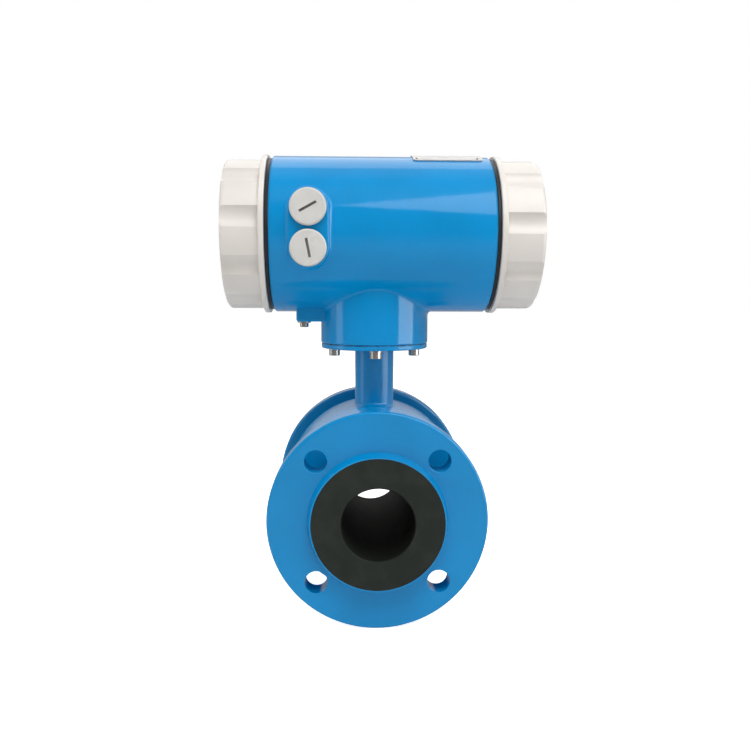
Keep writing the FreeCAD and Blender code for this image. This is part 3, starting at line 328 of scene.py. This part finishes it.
def plug_plastic(node):
    """Moulded plastic of a plug: painted shade down in its slot, and a threaded shank behind the
    head.
    """
    shell = Finish(node + " plastic")
    low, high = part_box(node)
    washer_front, washer_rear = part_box(node + "_washer")
    head_radius = (high.x - low.x) / 2
    out = off_axis(shell.along("X") - (low.x + high.x) / 2, shell.along("Z") - (low.z + high.z) / 2)
    inward = shell.along("Y")
    shade_top = low.y + SLOT_SHADE_MM * MM
    within_head = 1 - out.over(head_radius * 0.8, head_radius * 0.85)
    slot = inward.over(shade_top, shade_top + SLOT_SHADE_MM * MM) * within_head
    shank = inward.over(washer_front.y, washer_rear.y)
    cloud = shell.noise(16, 3).over(0.35, 0.7)
    colour_now = shell.mix(cloud, PLUG_WHITE, deeper(PLUG_WHITE, 0.93))
    # Painted shade: the slot behind the head's face is darkened towards a dim brown
    colour_now = shell.mix(slot * (1 - shank) * 0.75, colour_now, tone(84, 80, 74))
    turns = thread(shell, "Y", PLUG_THREAD_MM)
    grain = shell.bump(shell.noise(0.8, 2), 0.012)
    relief = shell.bump(turns * shank, PLUG_THREAD_DEPTH_MM, grain)
    return shell.wear(Base_Color=colour_now, Roughness=cloud * 0.08 + 0.27, Normal=relief)


def metal(name, colour, roughness, brush=(1, 1, 1), depth_mm=0.01, stain=0.1, bareness=1.0):
    """Metal with brushing marks and a little staining; a lacquered one is less than bare."""
    bare = Finish(name)
    lines = bare.noise(0.5, 3, stretch=brush)
    dull = bare.noise(9, 4).over(0.4, 0.75)
    colour_now = bare.mix(dull * stain, colour, deeper(colour, 0.55))
    relief = bare.bump(lines, depth_mm)
    rough = lines * 0.14 + (roughness - 0.05) + dull * 0.08
    return bare.wear(Base_Color=colour_now, Roughness=rough, Metallic=bareness, Normal=relief)


def glass():
    """Toughened glass: clear, with a few wiping smears."""
    pane = Finish("window glass")
    smear = pane.noise(7, 4, stretch=(1, 1, 0.25)).over(0.5, 0.8)
    colour_now = pane.mix(smear * 0.2, tone(245, 250, 249), tone(225, 232, 232))
    rough = smear * 0.06 + 0.02
    relief = pane.bump(pane.noise(40, 1), 0.01)
    return pane.wear(Base_Color=colour_now, Roughness=rough, Normal=relief, IOR=1.5,
                     Transmission_Weight=0.96)


def winding():
    """Enamelled copper wire, laid in turns round the vertical core, with painted shade in the
    grooves between turns.
    """
    wire = Finish("copper winding")
    turns = thread(wire, "Z", WIRE_PITCH_MM)
    tint = wire.noise(6, 3)
    colour_now = wire.mix(tint, tone(176, 96, 48), tone(140, 66, 30))
    # Painted shade: the valleys between turns are coloured dark brown
    colour_now = wire.mix(turns.over(-1.0, -0.5), tone(60, 26, 12), colour_now)
    relief = wire.bump(turns, WIRE_DEPTH_MM)
    return wire.wear(Base_Color=colour_now, Roughness=tint * 0.1 + 0.25, Metallic=0.7,
                     Normal=relief)


def finishes():
    """Each finish with the CAD nodes that wear it."""
    return (
        (enamel(BLUE),
         ("front_flange", "rear_flange", "measuring_tube", "coil_housing", "front_end_plate",
          "rear_end_plate", "stem", "adapter_plate")),
        (casting_enamel(BLUE),
         ("converter_housing",)),
        (satin_coat(COVER_WHITE),
         ("left_cover", "right_cover")),
        (liner_rubber(),
         ("liner",)),
        (oversprayed_rubber(tone(12, 48, 74), deeper(BLUE, 0.75)),
         ("neck_gasket",)),
        (rubber("seal rubber", tone(26, 28, 31), 0.42),
         ("left_cover_seal", "right_cover_seal", "lead_grommet", "upper_plug_washer",
          "lower_plug_washer", "window_gasket")),
        (plug_plastic("upper_plug"),
         ("upper_plug",)),
        (plug_plastic("lower_plug"),
         ("lower_plug",)),
        (metal("bright steel", tone(206, 203, 196), 0.2),
         ("plate_screws", "spring_washers", "earth_screw", "earth_washer", "left_electrode",
          "right_electrode", "left_electrode_nut", "right_electrode_nut", "board_pillars",
          "panel_screws", "nameplate_rivets", "terminal_screws")),
        (plastic("white insulation", tone(226, 224, 218), 0.45),
         ("left_insulator", "right_insulator", "lead_bundle")),
        (metal("magnet iron", tone(110, 112, 116), 0.42, depth_mm=0.05, stain=0.5),
         ("upper_pole_shoe", "lower_pole_shoe", "magnet_yoke")),
        (winding(),
         ("upper_coil", "lower_coil")),
        (glass(),
         ("window_glass",)),
        (metal("ring metal", tone(200, 200, 198), 0.3),
         ("window_ring",)),
        (metal("nameplate metal", tone(198, 195, 193), 0.45, brush=(0.05, 1, 1), stain=0.2,
               bareness=0.4),
         ("nameplate",)),
        (plastic("board laminate", tone(20, 92, 56), 0.3),
         ("power_board", "main_board")),
        (plastic("panel plastic", tone(52, 62, 74), 0.42),
         ("display_panel",)),
        (plastic("screen plastic", tone(120, 134, 118), 0.16),
         ("display_screen",)),
        (rubber("key rubber", tone(214, 214, 210), 0.45),
         ("panel_key_1", "panel_key_2", "panel_key_3", "panel_key_4")),
        (plastic("terminal plastic", tone(40, 104, 62), 0.4),
         ("terminal_block",)),
    )


def dress():
    """Puts the finishes on the CAD nodes' meshes."""
    for material, wearers in finishes():
        for name in wearers:
            mesh = nodes[name].data
            mesh.materials.clear()
            mesh.materials.append(material)


def floor():
    """A wide pale floor under the flanges."""
    bpy.ops.mesh.primitive_plane_add(size=FLOOR_SIZE, location=(0, 0, cad_box[0][2]))
    ground = bpy.context.object
    ground.name = "floor"
    pale = Finish("pale floor")
    eye, gloss = pale.ray("Camera"), pale.ray("Glossy")
    seen = eye.work("MAXIMUM", gloss).work("MAXIMUM", pale.ray("Transmission"))
    glow = pale.mix(seen, shade(FLOOR_BOUNCE), shade(FLOOR_SHEEN))
    glow = pale.mix(eye, glow, shade(FLOOR_GLOW))
    surface = pale.mix(gloss, tone(235, 235, 235), tone(130, 130, 130))
    ground.data.materials.append(pale.wear(Base_Color=surface, Roughness=0.9, Emission_Color=glow,
                                           Emission_Strength=1.0))


def surroundings():
    """White all round to the eye; in gloss, dim in front of the meter and brighter beyond it."""
    world = bpy.data.worlds.new("studio")
    world.use_nodes = True
    bpy.context.scene.world = world
    studio = Finish.of_tree(world.node_tree)
    toward = studio.node("TexCoord", output="Generated")
    depth = studio.node("SeparateXYZ", inputs={"Vector": toward}, output="Y")
    mirrored = ROOM_BEHIND + (ROOM_AHEAD - ROOM_BEHIND) * depth.over(-0.45, 0.2)
    level = AMBIENT + studio.ray("Glossy") * (mirrored - AMBIENT)
    seen = studio.ray("Camera").work("MAXIMUM", studio.ray("Transmission"))
    level = level + seen * (1 - level)
    background = world.node_tree.nodes["Background"]
    studio.feed(background.inputs["Color"], shade(1))
    studio.feed(background.inputs["Strength"], level)


def softbox(name, place, aim, size, watts, lights=True, mirrored=True, roll=0):
    """A soft light aimed at a place; one that doesn't light only shows in gloss."""
    lamp = bpy.data.lights.new(name, "AREA")
    lamp.shape = "RECTANGLE"
    lamp.size, lamp.size_y = size
    lamp.energy = watts
    box = bpy.data.objects.new(name, lamp)
    bpy.context.scene.collection.objects.link(box)
    box.location = place
    direction = Vector(aim) - Vector(place)
    turned = direction.to_track_quat("-Z", "Y") @ Quaternion((0, 0, 1), math.radians(roll))
    box.rotation_euler = turned.to_euler()
    box.visible_glossy, box.visible_diffuse = mirrored, lights


def lights():
    """A key overhead and forward, weak fills all round, and panels that only show in gloss."""
    middle = (0, 0, 0.12)
    softbox("key", (0.1, -0.62, 1.25), middle, (1.1, 0.6), 15.5, mirrored=False)
    softbox("fill", (0.2, -1.7, 0.6), middle, (1.2, 1.2), 4, mirrored=False)
    softbox("rear fill", (-0.3, 1.7, 0.9), middle, (1.4, 1.4), 14, mirrored=False)
    softbox("left fill", (-1.4, -0.1, 0.5), middle, (1.0, 1.0), 4.8, mirrored=False)
    softbox("right fill", (1.4, -0.1, 0.5), middle, (1.0, 1.0), 5.6, mirrored=False)
    softbox("top panel", (0, 0.75, 1.25), (0, 0, 0.25), (2.2, 0.9), 6, lights=False)
    softbox("front panel", (0.95, -0.85, 1.1), (0.75, 0, 0.24), (1.45, 1.45), 15, lights=False,
            roll=45)
    softbox("right panel", (1.1, -0.45, 0.3), (0, 0, 0.18), (0.8, 1.0), 8, lights=False)
    softbox("left panel", (-1.1, -0.2, 0.4), (0, 0, 0.2), (0.35, 1.1), 1.4, lights=False)


def camera():
    """The camera, turned by yaw, pitch and roll."""
    lens = bpy.data.cameras.new("camera")
    lens.sensor_width = SENSOR_MM
    lens.lens = LENS_MM
    eye = bpy.data.objects.new("camera", lens)
    bpy.context.scene.collection.objects.link(eye)
    forward = Vector((math.sin(CAMERA_YAW) * math.cos(CAMERA_PITCH),
                      math.cos(CAMERA_YAW) * math.cos(CAMERA_PITCH), math.sin(CAMERA_PITCH)))
    right = forward.cross(Vector((0, 0, 1))).normalized()
    up = right.cross(forward)
    level, tilt = math.cos(CAMERA_ROLL), math.sin(CAMERA_ROLL)
    right, up = level * right + tilt * up, level * up - tilt * right
    turn = Matrix((right, up, -forward)).transposed().to_4x4()
    eye.matrix_world = Matrix.Translation(CAMERA_PLACE) @ turn
    bpy.context.scene.camera = eye


dress()
floor()
surroundings()
lights()
camera()
bpy.context.scene.view_settings.view_transform = "Standard"
